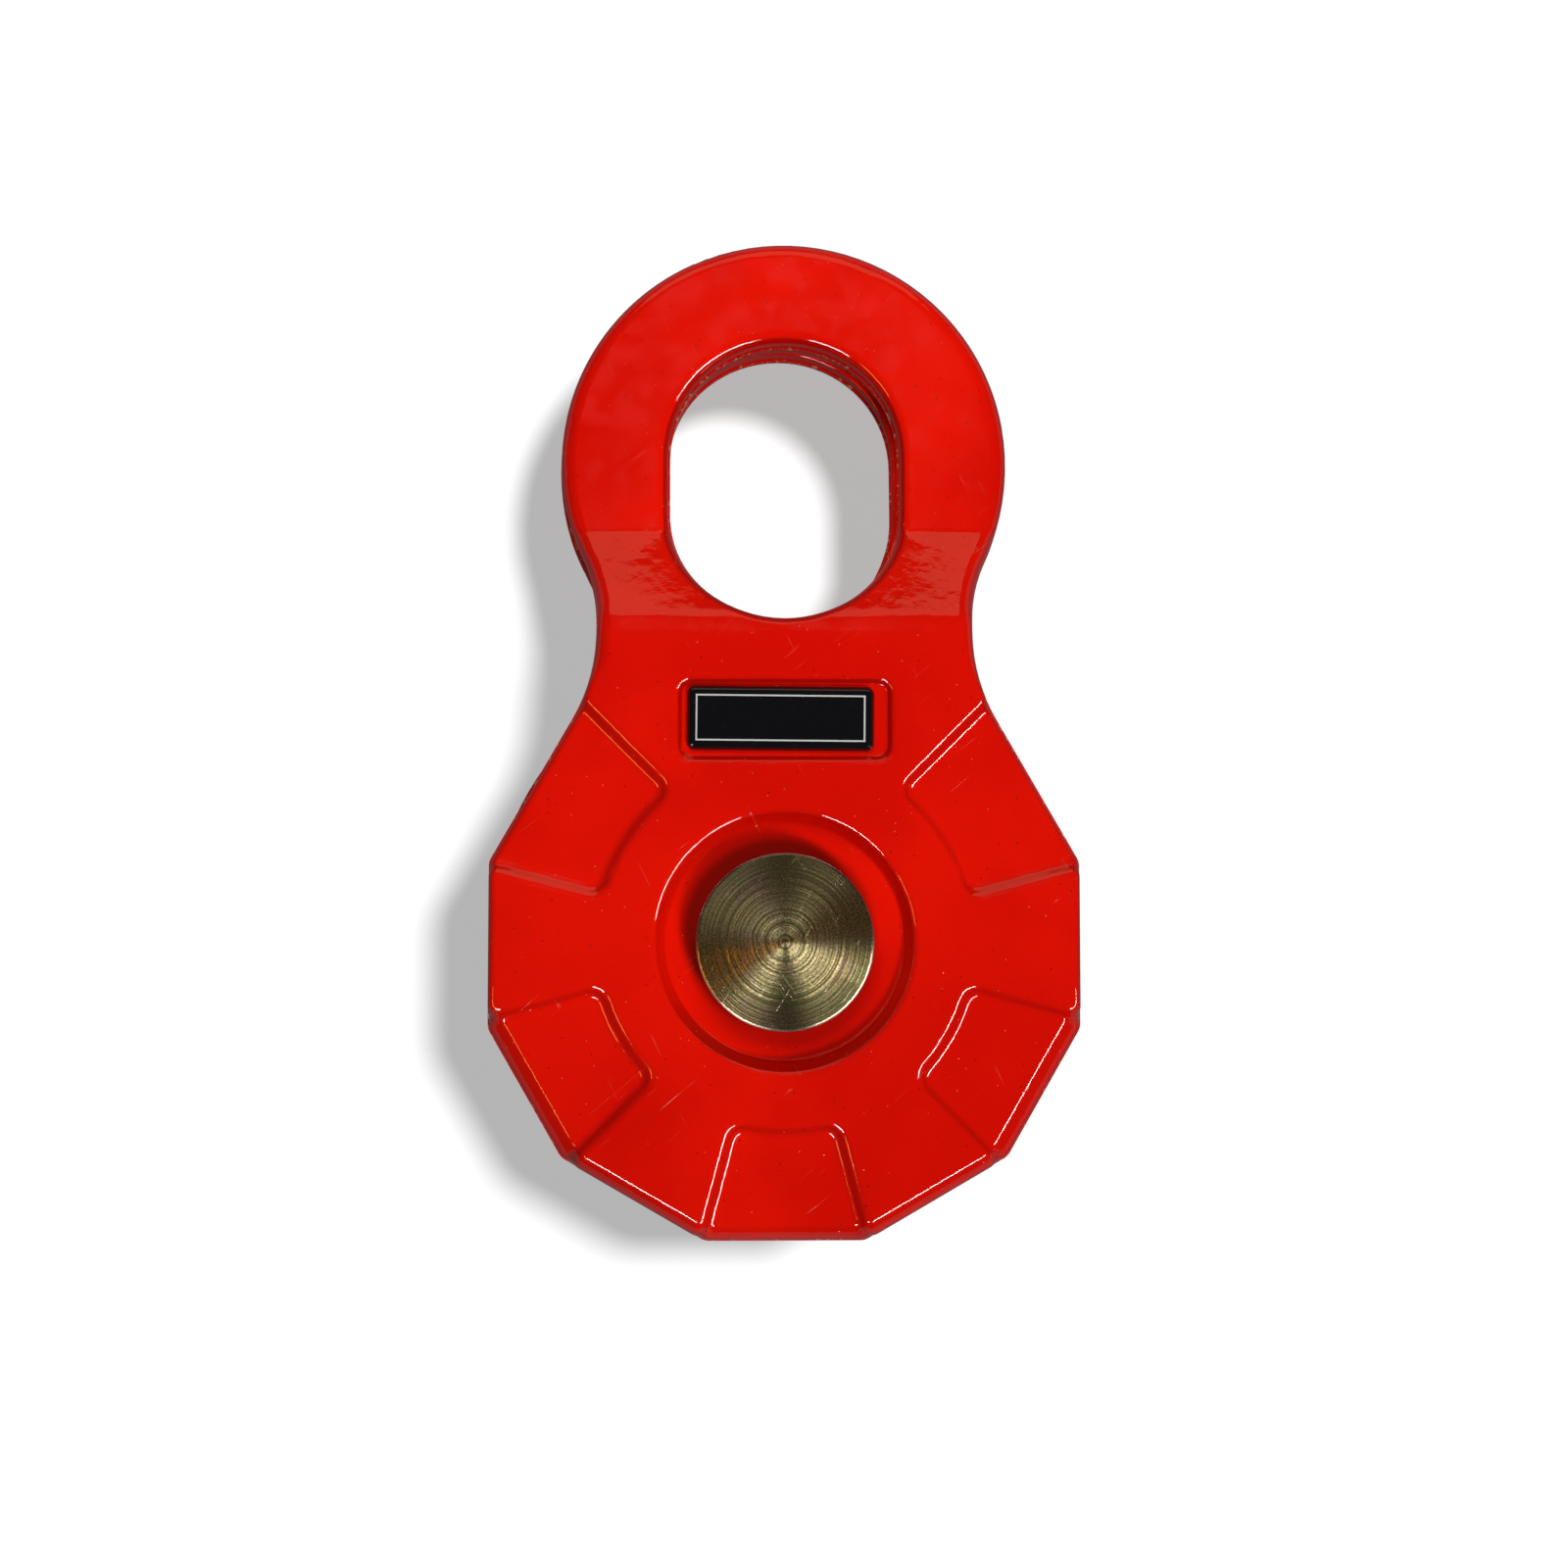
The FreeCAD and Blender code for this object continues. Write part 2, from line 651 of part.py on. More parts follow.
def grease_nipple_spring():
    """Coil of half turns, each a tilted half ring that starts where the one before ends."""
    wire_radius = nipple_spring_wire / 2
    coil_radius = nipple_bore_radius - nipple_spring_gap - wire_radius
    low = nipple_bore_floor + nipple_spring_gap + wire_radius
    ball_reach = nipple_ball_radius + wire_radius + nipple_spring_gap
    high = ball_height - math.sqrt(ball_reach ** 2 - coil_radius ** 2)
    rise = (high - low) / nipple_spring_half_turns
    coil = None
    for index in range(nipple_spring_half_turns):
        side = 1 if index % 2 == 0 else -1
        start = Vector(side * coil_radius, 0, nipple_z(high - index * rise))
        end = Vector(-side * coil_radius, 0, nipple_z(high - (index + 1) * rise))
        axis = Vector(0, side, 0).cross(end - start)
        section = []
        for corner in range(nipple_spring_wire_sides):
            across = polar(wire_radius, corner * 360 / nipple_spring_wire_sides)
            section.append(start + Vector(across.x, 0, across.y))
        half = polygon_face(section).revolve((start + end) / 2, axis, 180)
        coil = coil.fuse(half) if coil else half
    return coil


forging = cheek()
pieces = {
    "front_cheek": forging,
    "rear_cheek": rear_cheek(forging),
    "badge": badge(),
    "sheave": sheave(),
    "sheave_bush": sheave_bush(),
    "front_thrust_washer": tube(thrust_washer_radius, washer_bore_radius,
                                washer_inner_z, washer_inner_z + thrust_washer_thickness),
    "rear_thrust_washer": tube(thrust_washer_radius, washer_bore_radius,
                               -washer_inner_z - thrust_washer_thickness, -washer_inner_z),
    "axle_pin": axle_pin(),
    "rear_shim_washer": tube(shim_washer_radius, washer_bore_radius,
                             shim_face_z - shim_washer_thickness, shim_face_z),
    "circlip": circlip(),
    "grease_nipple": grease_nipple(),
    "grease_nipple_ball": grease_nipple_ball(),
    "grease_nipple_spring": grease_nipple_spring(),
}

os.makedirs("parts", exist_ok=True)
for name, shape in pieces.items():
    print(name, shape.isValid(), len(shape.Solids), len(shape.Faces), round(shape.Volume, 1))
    shape.exportStep(f"parts/{name}.step")
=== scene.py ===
import bpy
import json
import math
from mathutils import Matrix, Vector


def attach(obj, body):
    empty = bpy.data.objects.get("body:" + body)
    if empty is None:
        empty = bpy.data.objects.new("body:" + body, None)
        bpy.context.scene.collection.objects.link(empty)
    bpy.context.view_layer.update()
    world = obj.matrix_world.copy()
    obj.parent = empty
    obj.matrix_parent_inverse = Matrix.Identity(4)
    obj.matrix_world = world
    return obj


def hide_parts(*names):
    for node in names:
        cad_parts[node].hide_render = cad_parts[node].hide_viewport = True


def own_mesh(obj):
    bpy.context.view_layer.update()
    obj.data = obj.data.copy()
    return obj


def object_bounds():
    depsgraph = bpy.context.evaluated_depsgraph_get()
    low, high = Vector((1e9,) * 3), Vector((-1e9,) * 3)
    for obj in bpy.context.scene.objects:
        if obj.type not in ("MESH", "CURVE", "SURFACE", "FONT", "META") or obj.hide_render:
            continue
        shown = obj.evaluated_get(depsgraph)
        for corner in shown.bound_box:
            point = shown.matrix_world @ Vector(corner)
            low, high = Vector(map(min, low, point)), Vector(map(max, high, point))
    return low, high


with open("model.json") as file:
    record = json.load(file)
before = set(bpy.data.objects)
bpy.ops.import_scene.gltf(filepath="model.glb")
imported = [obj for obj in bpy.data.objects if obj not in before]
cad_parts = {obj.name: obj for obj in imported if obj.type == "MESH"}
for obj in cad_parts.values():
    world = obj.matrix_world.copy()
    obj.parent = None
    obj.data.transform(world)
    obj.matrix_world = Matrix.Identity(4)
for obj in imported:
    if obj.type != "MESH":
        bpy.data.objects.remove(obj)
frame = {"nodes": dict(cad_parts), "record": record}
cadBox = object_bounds()
nodes = frame["nodes"]
print("frame loaded:", len(nodes), "nodes")

# The block lies on its rear cheek, axle along Z, eye towards +Y. All lengths are metres, and
# pattern scales count per metre. A pair of numbers for a mask says where it begins to show and
# where it shows fully.


# Shader maths: a Value wraps a socket, so masks and patterns are written as expressions
class Value:
    def __init__(self, surface, socket):
        self.surface = surface
        self.socket = socket

    def __add__(self, other):
        return self.surface.maths("ADD", self, other)

    def __radd__(self, other):
        return self.surface.maths("ADD", other, self)

    def __sub__(self, other):
        return self.surface.maths("SUBTRACT", self, other)

    def __rsub__(self, other):
        return self.surface.maths("SUBTRACT", other, self)

    def __mul__(self, other):
        return self.surface.maths("MULTIPLY", self, other)

    def __rmul__(self, other):
        return self.surface.maths("MULTIPLY", other, self)

    def __truediv__(self, other):
        return self.surface.maths("DIVIDE", self, other)

    def __rtruediv__(self, other):
        return self.surface.maths("DIVIDE", other, self)

    def __pow__(self, other):
        return self.surface.maths("POWER", self, other)

    def __rpow__(self, other):
        return self.surface.maths("POWER", other, self)

    def __abs__(self):
        return self.surface.maths("ABSOLUTE", self)


class Surface:
    def __init__(self, owner, outputKind="ShaderNodeOutputMaterial"):
        owner.use_nodes = True
        self.owner = owner
        self.tree = owner.node_tree
        self.tree.nodes.clear()
        self.output = self.tree.nodes.new(outputKind)

    def node(self, kind, settings=None, values=None, out=0):
        made = self.tree.nodes.new(kind)
        for key, setting in (settings or {}).items():
            setattr(made, key, setting)
        for key, value in (values or {}).items():
            if isinstance(value, Value):
                self.tree.links.new(value.socket, made.inputs[key])
            else:
                made.inputs[key].default_value = value
        return Value(self, made.outputs[out])

    # Another outlet of the node that a value comes from
    def outlet(self, value, name):
        return Value(self, value.socket.node.outputs[name])

    def maths(self, operation, *values):
        return self.node("ShaderNodeMath", {"operation": operation}, dict(enumerate(values)))

    def place(self):
        return self.node("ShaderNodeTexCoord", out="Object")

    def parts(self, vector):
        split = self.node("ShaderNodeSeparateXYZ", {}, {0: vector})
        return [self.outlet(split, axis) for axis in "XYZ"]

    def stretched(self, vector, scale, turn):
        shrunk = tuple(1.0 / factor for factor in scale)
        return self.node("ShaderNodeMapping", {"vector_type": "TEXTURE"},
                         {"Vector": vector, "Scale": shrunk, "Rotation": (0, 0, turn)})

    def turned(self, vector, turn):
        return self.stretched(vector, (1.0, 1.0, 1.0), turn)

    def noise(self, vector, scale, detail=2.0, roughness=0.5):
        return self.node("ShaderNodeTexNoise", {},
                         {"Vector": vector, "Scale": scale,
                          "Detail": detail, "Roughness": roughness})

    # Turning marks: noise along one line, such as the distance from the axle
    def rings(self, distance):
        return self.node("ShaderNodeTexNoise", {"noise_dimensions": "1D"},
                         {"W": distance, "Scale": 1.0, "Detail": 2.0, "Roughness": 0.6})

    # Hair scratches in one direction: noise drawn out by unequal scales, kept where it is high
    def hairs(self, vector, scale, turn, low, high):
        threads = self.noise(self.stretched(vector, scale, turn), 1.0)
        return self.ramp(threads, low, high)

    # Soft round dots of a size within their cell, in a share of the cells
    def specks(self, vector, scale, size, share):
        cells = self.node("ShaderNodeTexVoronoi", {"feature": "F1"},
                          {"Vector": vector, "Scale": scale}, "Distance")
        lot = self.parts(self.outlet(cells, "Color"))[0]
        chosen = self.ramp(lot, 1.0 - share, 1.01 - share)
        return self.ramp(cells, size, size * 0.7) * chosen

    def ramp(self, value, low, high, start=0.0, end=1.0):
        return self.node("ShaderNodeMapRange", {"clamp": True, "interpolation_type": "SMOOTHSTEP"},
                         {0: value, 1: low, 2: high, 3: start, 4: end})

    def blend(self, factor, first, second):
        return self.node("ShaderNodeMix", {"data_type": "RGBA"},
                         {0: factor, 6: first, 7: second}, 2)

    def bump(self, height, distance, strength=1.0, normal=None):
        values = {"Height": height, "Distance": distance, "Strength": strength}
        if normal is not None:
            values["Normal"] = normal
        return self.node("ShaderNodeBump", {}, values)

    def show(self, shader):
        self.tree.links.new(shader.socket, self.output.inputs["Surface"])
        return self.owner

    def finish(self, **values):
        named = {key.replace("_", " "): value for key, value in values.items()}
        return self.show(self.node("ShaderNodeBsdfPrincipled", {}, named, "BSDF"))


def colour(red, green, blue):
    return (red, green, blue, 1.0)


# Red powder coat of the two forged cheeks: glossy, with orange peel, dust nibs and fine hair
# scratches, and worn through in spots along the flash line
cheek = {
    "red": colour(0.780, 0.0055, 0.0),
    "deepRed": colour(0.660, 0.0035, 0.0),
    "cloudScale": 24.0,
    "cloudEdges": (0.35, 0.65),
    "index": 1.6,
    "gloss": 0.04,                          # roughness where the coat is clear
    "haze": 0.09,                           # and where it is hazy
    "hazeScale": 260.0,
    "hazeEdges": (0.40, 0.65),
    "peelScale": 420.0,                     # orange peel
    "peelHeight": 0.00007,
    "waveScale": 120.0,                     # and the wider waves under it
    "waveHeight": 0.00010,

    # painted shade: steep walls and rounded edges are darkened, most of all low on the cheek, and
    # only a little on the upper wall of the dish
    "wallShade": colour(0.30, 0.0015, 0.0),
    "steepFacing": (0.82, 0.73),
    "dishRim": (0.035, 0.0357),
    "lowWall": (-0.006, -0.022),
    "wallShadeBeyondDish": 0.55,
    "wallShadeLow": 0.60,
    "wallShadeEverywhere": 0.10,

    # painted shadow of the pin's head: a dark ring round it, set off up and to the left, where its
    # shadow falls
    "pinShadow": colour(0.05, 0.002, 0.0),
    "pinShadowMiddle": (-0.0012, 0.0016),
    "pinShadowRim": (0.0208, 0.0180),
    "pinShadowWaver": 0.002,
    "pinShadowStrength": 0.6,

    # nibs stand out of the coat and pits go into it: scale, size and share of the dots
    "nib": colour(0.90, 0.14, 0.09),
    "nibs": (620.0, 0.10, 0.22),
    "nibStrength": 0.6,
    "nibHeight": 0.00002,
    "nibBump": 0.8,
    "pit": colour(0.14, 0.002, 0.0),
    "pits": (500.0, 0.10, 0.35),
    "pitTurn": 1.1,
    "pitStrength": 0.8,

    # scratches lie in two directions, in patches: three scales, a turn and the two edges
    "scratch": colour(0.86, 0.12, 0.08),
    "hairs": ((70.0, 2600.0, 70.0), 0.7, 0.70, 0.74),
    "crossHairs": ((2300.0, 60.0, 60.0), 0.45, 0.71, 0.75),
    "patchScale": 60.0,
    "patchEdges": (0.50, 0.60),
    "hairStrength": 0.3,
    "hairDepth": 0.7,

    # the flash line runs round the edge at mid thickness, and bends between body and eye
    "primer": colour(0.50, 0.33, 0.16),
    "bodyMiddle": 0.01821,
    "eyeMiddle": 0.00475,
    "bendStart": 0.0645,
    "bendEnd": 0.0856,
    "flashEdges": (0.0006, 0.0003),
    "wearScale": 900.0,
    "wearEdges": (0.57, 0.62),
    "wornRoughness": 0.4,

    # the forged shoulder inside the flats of the twelve-sided body leans over before its edge
    "flats": 12,
    "shoulderReach": (0.0572, 0.0607),
    "shoulderTop": (-0.012, -0.018),
    "shoulderFall": 0.00154,

    # and the neck and eye have a gentler one inside their outline
    "neckArc": (0.0752, 0.06375, 0.0365),   # middle and radius of the neck's hollow curve
    "eyeCircle": (0.1014, 0.0476),
    "neckToEye": (0.0796, 0.0806),
    "neckFoot": (0.052, 0.058),
    "neckWidth": 0.0034,
    "neckFall": 0.00086,
}


def redCoat():
    s = Surface(bpy.data.materials.new("red_powder_coat"))
    place = s.place()
    x, y, z = s.parts(place)
    radius = (x * x + y * y) ** 0.5
    clouds = s.noise(place, cheek["cloudScale"], 3.0)
    base = s.blend(s.ramp(clouds, *cheek["cloudEdges"]), cheek["red"], cheek["deepRed"])

    # Painted shade on the steep walls and rounded edges, towards a deep red
    facing = s.parts(s.node("ShaderNodeTexCoord", out="Normal"))[2]
    steep = s.ramp(abs(facing), *cheek["steepFacing"])
    beyondDish = s.ramp(radius, *cheek["dishRim"])
    lowWall = s.ramp(y, *cheek["lowWall"])
    upper = beyondDish * (cheek["wallShadeBeyondDish"] - lowWall * cheek["wallShadeBeyondDish"])
    paintedWallShade = upper + lowWall * cheek["wallShadeLow"] + cheek["wallShadeEverywhere"]
    base = s.blend(steep * paintedWallShade, base, cheek["wallShade"])

    # Painted shadow of the pin's head, darkest next to it and set off up and to the left
    shadowX, shadowY = cheek["pinShadowMiddle"]
    fromPinShadow = ((x - shadowX) ** 2.0 + (y - shadowY) ** 2.0) ** 0.5
    pinShadow = s.ramp(fromPinShadow + (clouds - 0.5) * cheek["pinShadowWaver"], *cheek["pinShadowRim"])
    base = s.blend(pinShadow * cheek["pinShadowStrength"], base, cheek["pinShadow"])

    nibs = s.specks(place, *cheek["nibs"])
    pits = s.specks(s.turned(place, cheek["pitTurn"]), *cheek["pits"])
    base = s.blend(nibs * cheek["nibStrength"], base, cheek["nib"])
    base = s.blend(pits * cheek["pitStrength"], base, cheek["pit"])

    patch = s.ramp(s.noise(place, cheek["patchScale"]), *cheek["patchEdges"])
    hairs = (s.hairs(place, *cheek["hairs"]) + s.hairs(place, *cheek["crossHairs"])) * patch
    base = s.blend(hairs * cheek["hairStrength"], base, cheek["scratch"])

    middle = s.node("ShaderNodeMapRange", {"clamp": True},
                    {0: y, 1: cheek["bendStart"], 2: cheek["bendEnd"],
                     3: cheek["bodyMiddle"], 4: cheek["eyeMiddle"]})
    nearFlash = s.ramp(abs(abs(z) - middle), *cheek["flashEdges"])
    wear = s.ramp(s.noise(place, cheek["wearScale"], 3.0), *cheek["wearEdges"])
    worn = nearFlash * beyondDish * wear
    base = s.blend(worn, base, cheek["primer"])

    corner = s.maths("PINGPONG", s.maths("ARCTAN2", y, x), math.pi / cheek["flats"])
    reach = radius * s.maths("COSINE", corner)
    lean = s.ramp(reach, *cheek["shoulderReach"]) * s.ramp(y, *cheek["shoulderTop"])

    arcX, arcY, arcRadius = cheek["neckArc"]
    eyeY, eyeRadius = cheek["eyeCircle"]
    besideNeck = ((abs(x) - arcX) ** 2.0 + (y - arcY) ** 2.0) ** 0.5 - arcRadius
    insideEye = eyeRadius - (x * x + (y - eyeY) ** 2.0) ** 0.5
    onEye = s.ramp(y, *cheek["neckToEye"])
    inset = besideNeck * (1.0 - onEye) + insideEye * onEye
    neckLean = s.ramp(inset, cheek["neckWidth"], 0.0) * s.ramp(y, *cheek["neckFoot"])
    fall = lean * cheek["shoulderFall"] + neckLean * cheek["neckFall"]

    peel = s.noise(place, cheek["peelScale"], 3.0, 0.45)
    waves = s.noise(place, cheek["waveScale"])
    normal = s.bump(1.0 - fall, 1.0)
    normal = s.bump(waves, cheek["waveHeight"], normal=normal)
    normal = s.bump(peel, cheek["peelHeight"], normal=normal)
    relief = nibs - hairs * cheek["hairDepth"]
    normal = s.bump(relief, cheek["nibHeight"], cheek["nibBump"], normal)
    hazeNoise = s.noise(place, cheek["hazeScale"], 3.0, 0.6)
    haze = s.ramp(hazeNoise, *cheek["hazeEdges"], cheek["gloss"], cheek["haze"])
    return s.finish(Base_Color=base, Roughness=haze + worn * cheek["wornRoughness"],
                    Normal=normal, IOR=cheek["index"])


# Yellow zinc on turned steel: rings that fade outwards, grain, and straw, rose and green tints
zinc = {
    "pin": (0.00024, 0.016, 0.0),           # height of the rings, radius of their fade, brightness
    "sheave": (0.00003, 0.075, 0.65),
    "gold": colour(0.62, 0.49, 0.22),
    "rose": colour(0.54, 0.35, 0.26),
    "roseScale": 85.0,
    "roseEdges": (0.50, 0.66),
    "green": colour(0.36, 0.385, 0.16),
    "greenScale": 70.0,
    "greenEdges": (0.48, 0.64),
    "greenTurn": 1.3,
    "tintStrength": 0.7,
    "olive": colour(0.155, 0.125, 0.050),   # the hollows of grain and rings
    "grainScale": 2300.0,
    "grainEdges": (0.40, 0.62),
    "grainStrength": 0.75,
    "grainHeight": 0.00002,
    "grainBump": 0.9,
    "ringPitch": 0.00085,
    "ringEdges": (0.47, 0.58),
    "ringStrength": 0.9,
    "ringDepth": (0.4, 0.6),                # everywhere, and added towards the middle
    "straw": colour(0.78, 0.74, 0.55),      # fresh scratches
    "hairs": ((150.0, 4200.0, 150.0), 2.2, 0.68, 0.72),
    "crossHairs": ((4200.0, 150.0, 150.0), 2.6, 0.69, 0.73),
    "hairStrength": 0.6,
    "hairDepth": 0.5,
    "brightGold": colour(0.82, 0.69, 0.38),
    "middleShares": (0.80, 0.15),           # of the fade's radius
    "middleGrain": (0.64, 0.40),
    "middleStrength": 0.70,
    "bareEdge": colour(0.48, 0.47, 0.43),   # the edge of the head, rubbed down to the bright zinc
    "edgeRadius": (0.0176, 0.0178),
    "edgeHeight": (0.0236, 0.0242),
    "shadedSide": colour(0.030, 0.024, 0.012),    # painted shade on the side of the head, down in the dish: nearly black
    "sideRadius": (0.0176, 0.0179),
    "sideHeight": (0.0242, 0.0236),
    "shadedSideStrength": 0.9,
    "roughFrom": (0.3, 0.7, 0.28, 0.37),    # two edges of the grain and the roughness at each
    "middleRoughness": 0.16,
    "drawn": 0.80,                          # how far the shine is drawn out across the rings
    "drawnTurn": 0.25,
}


def yellowZinc(name, piece):
    ringHeight, fadeRadius, bright = zinc[piece]
    s = Surface(bpy.data.materials.new(name))
    place = s.place()
    x, y, z = s.parts(place)
    radius = (x * x + y * y) ** 0.5
    fade = s.ramp(radius, fadeRadius, 0.0)
    rings = s.rings(radius / zinc["ringPitch"])
    grain = s.noise(place, zinc["grainScale"], 2.0, 0.6)
    rose = s.noise(place, zinc["roseScale"], 3.0, 0.6)
    green = s.noise(s.turned(place, zinc["greenTurn"]), zinc["greenScale"], 3.0, 0.6)
    roseMask = s.ramp(rose, *zinc["roseEdges"]) * zinc["tintStrength"]
    greenMask = s.ramp(green, *zinc["greenEdges"]) * zinc["tintStrength"]
    base = s.blend(roseMask, zinc["gold"], zinc["rose"])
    base = s.blend(greenMask, base, zinc["green"])
    grainMask = s.ramp(grain, *zinc["grainEdges"]) * zinc["grainStrength"]
    base = s.blend(grainMask, base, zinc["olive"])
    scratches = s.hairs(place, *zinc["hairs"]) + s.hairs(place, *zinc["crossHairs"])
    base = s.blend(scratches * zinc["hairStrength"], base, zinc["straw"])

    outer, inner = zinc["middleShares"]
    middle = s.ramp(radius, fadeRadius * outer, fadeRadius * inner)
    middle = middle * s.ramp(grain, *zinc["middleGrain"])
    base = s.blend(middle * (zinc["middleStrength"] - bright) + bright, base, zinc["brightGold"])
    ringMask = s.ramp(rings, *zinc["ringEdges"]) * fade * zinc["ringStrength"]
    base = s.blend(ringMask, base, zinc["olive"])

    everywhere, added = zinc["ringDepth"]
    relief = grain + scratches * zinc["hairDepth"]
    normal = s.bump(rings * (fade * added + everywhere), ringHeight)
    normal = s.bump(relief, zinc["grainHeight"], zinc["grainBump"], normal)

    edge = s.ramp(radius, *zinc["edgeRadius"]) * s.ramp(z, *zinc["edgeHeight"])
    side = s.ramp(radius, *zinc["sideRadius"]) * s.ramp(z, *zinc["sideHeight"])
    base = s.blend(edge, base, zinc["bareEdge"])
    # Painted shade: the side of the head is darkened nearly black
    base = s.blend(side * zinc["shadedSideStrength"], base, zinc["shadedSide"])
    rough = s.ramp(grain, *zinc["roughFrom"]) + fade * zinc["middleRoughness"]
    return s.finish(Base_Color=base, Roughness=rough, Metallic=1.0, Normal=normal,
                    Anisotropic=zinc["drawn"], Anisotropic_Rotation=zinc["drawnTurn"])


# The inner pieces, each turned or ground: a tone and a roughness for each metal
metal = {
    "bronze": (colour(0.55, 0.33, 0.12), 0.32),
    "brightSteel": (colour(0.60, 0.60, 0.60), 0.30),
    "darkSteel": (colour(0.075, 0.075, 0.08), 0.42),
    "ballSteel": (colour(0.75, 0.75, 0.76), 0.12),
    "ringsAcross": 2600.0,
    "ringsAlong": 2100.0,
    "ringHeight": 0.000012,
    "ringEdges": (0.3, 0.8),
    "ringStrength": 0.5,
    "cloudScale": 130.0,
    "cloudEdges": (0.4, 0.7),
    "cloudStrength": 0.3,
    "darkened": 0.6,
    "roughEdges": (0.3, 0.7),
    "roughAdded": 0.12,
}


def machinedMetal(name, look):
    tone, roughness = metal[look]
    s = Surface(bpy.data.materials.new(name))
    place = s.place()
    x, y, z = s.parts(place)
    radius = (x * x + y * y) ** 0.5
    rings = s.rings(radius * metal["ringsAcross"] + z * metal["ringsAlong"])
    clouds = s.noise(place, metal["cloudScale"], 3.0)
    darker = colour(*[metal["darkened"] * part for part in tone[:3]])
    ringMask = s.ramp(rings, *metal["ringEdges"]) * metal["ringStrength"]
    cloudMask = s.ramp(clouds, *metal["cloudEdges"]) * metal["cloudStrength"]
    base = s.blend(ringMask + cloudMask, tone, darker)
    normal = s.bump(rings, metal["ringHeight"])
    rough = s.ramp(clouds, *metal["roughEdges"], roughness, roughness + metal["roughAdded"])
    return s.finish(Base_Color=base, Roughness=rough, Metallic=1.0, Normal=normal)


# Domed resin badge: black, bare but for a plain pinstripe frame
badge = {
    "black": colour(0.004, 0.004, 0.005),
    "gloss": 0.06,
    "index": 1.8,
    "centre": (-0.0009, 0.0456),
    "turn": math.radians(0.5),
    "half": (0.0192, 0.0066),               # half width and half height
    "domeInset": (-0.00078, 0.0026),
    "domeHeight": 0.0008,
    "swellScale": 130.0,
    "swellHeight": 0.00002,
    "stripe": colour(0.62, 0.61, 0.59),
    "stripeHalf": (0.0172, 0.0046),         # the same of the pinstripe frame
    "stripeEdges": (0.000192, 0.000128),
    "rub": colour(0.04, 0.04, 0.045),       # scratches and dust
    "hairs": ((140.0, 3600.0, 140.0), 0.9, 0.70, 0.75),
    "hairStrength": 0.3,
    "dust": (900.0, 0.11, 0.3),
    "dustStrength": 0.6,
    "rubRoughness": 0.2,
}


def badgeResin():
    s = Surface(bpy.data.materials.new("black_badge_resin"))
    place = s.place()
    scratches = s.hairs(place, *badge["hairs"]) * badge["hairStrength"]
    marks = scratches + s.specks(place, *badge["dust"]) * badge["dustStrength"]
    base = s.blend(marks, badge["black"], badge["rub"])

    centreX, centreY = badge["centre"]
    flat = s.node("ShaderNodeMapping", {"vector_type": "TEXTURE"},
                  {"Vector": place, "Location": (centreX, centreY, 0.0),
                   "Rotation": (0, 0, -badge["turn"])})
    x, y, z = s.parts(flat)
    halfX, halfY = badge["stripeHalf"]
    outside = s.maths("MAXIMUM", abs(x) - halfX, abs(y) - halfY)
    stripe = s.ramp(abs(outside), *badge["stripeEdges"])
    base = s.blend(stripe, base, badge["stripe"])

    fullX, fullY = badge["half"]
    inset = s.maths("MINIMUM", fullX - abs(x), fullY - abs(y))
    normal = s.bump(s.ramp(inset, *badge["domeInset"]), badge["domeHeight"])
    normal = s.bump(s.noise(place, badge["swellScale"], 1.0), badge["swellHeight"], normal=normal)
    return s.finish(Base_Color=base, Roughness=marks * badge["rubRoughness"] + badge["gloss"],
                    Normal=normal, IOR=badge["index"])


materials = {
    "front_cheek": redCoat(),
    "badge": badgeResin(),
    "axle_pin": yellowZinc("yellow_zinc_pin", "pin"),
    "sheave": yellowZinc("yellow_zinc_sheave", "sheave"),
    "sheave_bush": machinedMetal("machined_bronze", "bronze"),
    "rear_shim_washer": machinedMetal("bright_steel", "brightSteel"),
    "circlip": machinedMetal("dark_spring_steel", "darkSteel"),
    "grease_nipple_ball": machinedMetal("polished_ball", "ballSteel"),
}
materials["rear_cheek"] = materials["front_cheek"]
for name in ("front_thrust_washer", "rear_thrust_washer"):
    materials[name] = materials["sheave_bush"]
materials["grease_nipple"] = materials["rear_shim_washer"]
materials["grease_nipple_spring"] = materials["circlip"]
print("materials made")


# Each node is shown by a copy of its own mesh with its loose triangles joined and its
# rounds shaded smooth, on the same body and in the same place
bodies = frame["record"]["behaviour"]["bodies"]
bodyOf = {name: body for body, names in bodies.items() for name in names}
smoothing = {"mergeDistance": 0.0000015, "angle": 32.0}


def smoothCopy(name):
    bpy.ops.object.select_all(action="DESELECT")
    mesh = nodes[name].data.copy()
    mesh.name = name + "_finished"
    piece = bpy.data.objects.new(name + "_finished", mesh)
    bpy.context.scene.collection.objects.link(piece)
    piece.select_set(True)
    bpy.context.view_layer.objects.active = piece
    bpy.ops.object.mode_set(mode="EDIT")
    bpy.ops.mesh.select_all(action="SELECT")
    bpy.ops.mesh.remove_doubles(threshold=smoothing["mergeDistance"])
    bpy.ops.object.mode_set(mode="OBJECT")
    if mesh.has_custom_normals:
        bpy.ops.mesh.customdata_custom_splitnormals_clear()
    bpy.ops.object.shade_smooth_by_angle(angle=math.radians(smoothing["angle"]))
    mesh.materials.clear()
    mesh.materials.append(materials[name])
    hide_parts(name)
    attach(piece, bodyOf[name])
    return piece


pieces = {name: smoothCopy(name) for name in nodes}
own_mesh(pieces["grease_nipple_spring"])
print("pieces finished:", len(nodes))


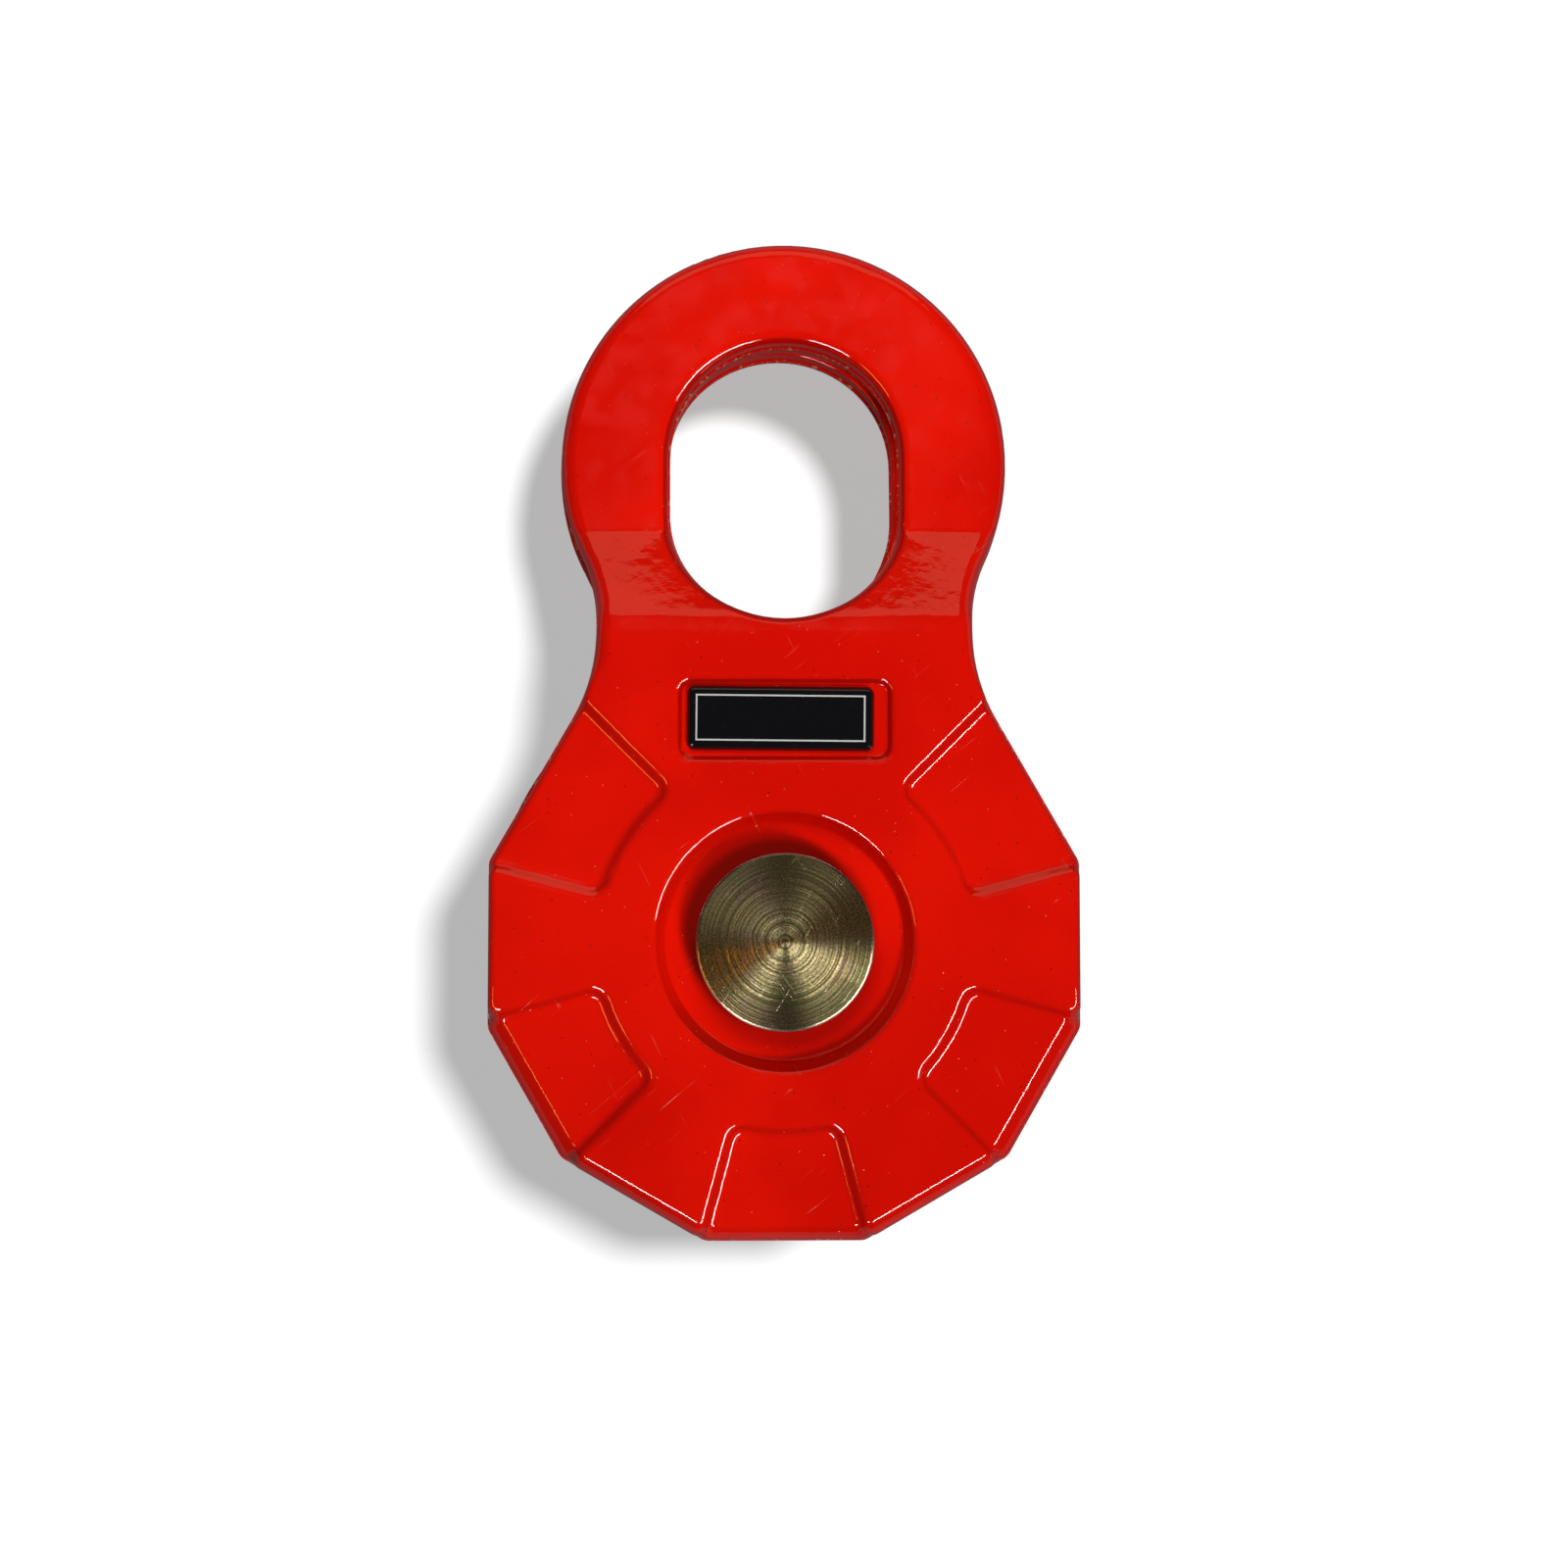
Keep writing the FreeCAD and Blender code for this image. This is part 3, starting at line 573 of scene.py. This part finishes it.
# Floor and world: the floor is pale and glows to the camera, so that it looks white, and the
# world is white to the camera alone and nearly dark to the block
studio = {
    "floorSize": 6.0,
    "floorGap": 0.0002,
    "floorColour": colour(0.25, 0.25, 0.25),
    "mirroredFloor": colour(0.04, 0.04, 0.04),
    "floorGlow": 0.455,
    "mirroredGlow": 0.15,                   # share of the glow that shows in the coat
    "glowColour": colour(1.0, 1.0, 1.0),
    "worldColour": colour(1.0, 1.0, 1.0),
    "worldStrength": 0.02,
    "worldToCamera": 1.0,
}


def floor():
    bpy.ops.object.select_all(action="DESELECT")
    height = cadBox[0][2] - studio["floorGap"]
    bpy.ops.mesh.primitive_plane_add(size=studio["floorSize"], location=(0, 0, height))
    plane = bpy.context.object
    plane.name = "studio_floor"
    s = Surface(bpy.data.materials.new("pale_floor"))
    direct = s.node("ShaderNodeLightPath", out="Is Camera Ray")
    mirrored = s.outlet(direct, "Is Glossy Ray")
    through = s.outlet(direct, "Is Transmission Ray")
    tone = s.blend(mirrored, studio["floorColour"], studio["mirroredFloor"])
    diffuse = s.node("ShaderNodeBsdfDiffuse", {}, {"Color": tone})
    seen = direct + mirrored * studio["mirroredGlow"] + through
    glow = s.node("ShaderNodeEmission", {},
                  {"Color": studio["glowColour"], "Strength": seen * studio["floorGlow"]})
    both = s.node("ShaderNodeAddShader", {}, {0: diffuse, 1: glow})
    plane.data.materials.append(s.show(both))
    return plane


def backdrop():
    s = Surface(bpy.data.worlds.new("studio_world"), "ShaderNodeOutputWorld")
    direct = s.node("ShaderNodeLightPath", out="Is Camera Ray")
    level = s.node("ShaderNodeMapRange", {},
                   {"Value": direct, "To Min": studio["worldStrength"],
                    "To Max": studio["worldToCamera"]})
    background = s.node("ShaderNodeBackground", {},
                        {"Color": studio["worldColour"], "Strength": level})
    bpy.context.scene.world = s.show(background)


# The drop shadow falls down and to the left, while the highlights come from below, so the sun
# is for the floor alone and the other lamps are for the block alone. The strips only give its
# shine: each has a direction and height in degrees, a distance, a size, a radiance and a tone.
# The colour lamps only give its colour: each has a place, a size and a power.
lamps = {
    "aim": (0, 0.03, 0),
    "strips": {
        "right_strip": (-42.0, 36.0, 1.15, (1.00, 0.14), 27.0, (1.0, 0.99, 0.98)),
        "left_strip": (-118.0, 36.0, 1.15, (0.44, 0.14), 27.0, (1.0, 0.99, 0.97)),
        "warm_strip": (205.0, 37.0, 1.15, (0.40, 0.12), 10.0, (1.0, 0.42, 0.08)),
        "top_card": (90.0, 24.0, 0.90, (0.92, 0.31), 0.54, (1.0, 0.84, 0.54)),
    },
    "colourLamps": {
        "overhead": ((-0.03, 0.285, 0.36), 0.26, 1.23),
        "key": ((0.53, -0.68, 0.86), 0.24, 10.5),
    },
    "colourTone": (1, 1, 1),
    "sunFrom": (0.66, 0.40, 1.45),
    "sunAngle": 10.5,
    "sunStrength": 8.3,
}


def addLamp(name, place, size, power, tone):
    data = bpy.data.lights.new(name, "AREA")
    data.shape = "RECTANGLE"
    data.size, data.size_y = size
    data.energy = power
    data.color = tone
    lamp = bpy.data.objects.new(name, data)
    lamp.location = place
    ahead = Vector(lamps["aim"]) - Vector(place)
    lamp.rotation_euler = ahead.to_track_quat("-Z", "Y").to_euler()
    bpy.context.scene.collection.objects.link(lamp)
    return lamp


def lights(plane):
    forFloor = bpy.data.collections.new("lit_by_shadow_lamp")
    forFloor.objects.link(plane)
    notFloor = bpy.data.collections.new("lit_by_block_lamps")
    notFloor.objects.link(plane)
    notFloor.collection_objects[0].light_linking.link_state = "EXCLUDE"

    aimX, aimY, aimZ = lamps["aim"]
    for name, (direction, height, distance, size, radiance, tone) in lamps["strips"].items():
        turn = math.radians(direction)
        rise = math.radians(height)
        level = distance * math.cos(rise)
        place = (aimX + level * math.cos(turn), aimY + level * math.sin(turn),
                 aimZ + distance * math.sin(rise))
        power = math.pi * radiance * size[0] * size[1]
        lamp = addLamp(name, place, size, power, tone)
        lamp.visible_diffuse = False
        lamp.light_linking.receiver_collection = notFloor

    for name, (place, size, power) in lamps["colourLamps"].items():
        lamp = addLamp(name, place, (size, size), power, lamps["colourTone"])
        lamp.visible_glossy = False
        lamp.light_linking.receiver_collection = notFloor

    data = bpy.data.lights.new("shadow_sun", "SUN")
    data.energy = lamps["sunStrength"]
    data.angle = math.radians(lamps["sunAngle"])
    lamp = bpy.data.objects.new("shadow_sun", data)
    lamp.location = lamps["sunFrom"]
    lamp.rotation_euler = (-Vector(lamps["sunFrom"])).to_track_quat("-Z", "Y").to_euler()
    bpy.context.scene.collection.objects.link(lamp)
    lamp.light_linking.receiver_collection = forFloor


# The camera stands nearly straight above the front cheek
cameraSet = {
    "place": (-0.0057, 0.0166, 0.3757),
    "aim": (-0.0002, 0.0321, 0.0220),
    "lens": 39.76,
    "sensor": 36.0,
    "clipStart": 0.01,
}


def camera():
    data = bpy.data.cameras.new("studio_camera")
    data.lens = cameraSet["lens"]
    data.sensor_width = cameraSet["sensor"]
    data.clip_start = cameraSet["clipStart"]
    place = Vector(cameraSet["place"])
    ahead = (Vector(cameraSet["aim"]) - place).normalized()
    right = ahead.cross(Vector((0, 1, 0))).normalized()
    up = right.cross(ahead)
    turn = Matrix((right, up, -ahead)).transposed().to_4x4()
    view = bpy.data.objects.new("studio_camera", data)
    view.matrix_world = Matrix.Translation(place) @ turn
    bpy.context.scene.collection.objects.link(view)
    bpy.context.scene.camera = view


lights(floor())
backdrop()
camera()
bpy.context.scene.view_settings.view_transform = "Standard"
print("studio ready")
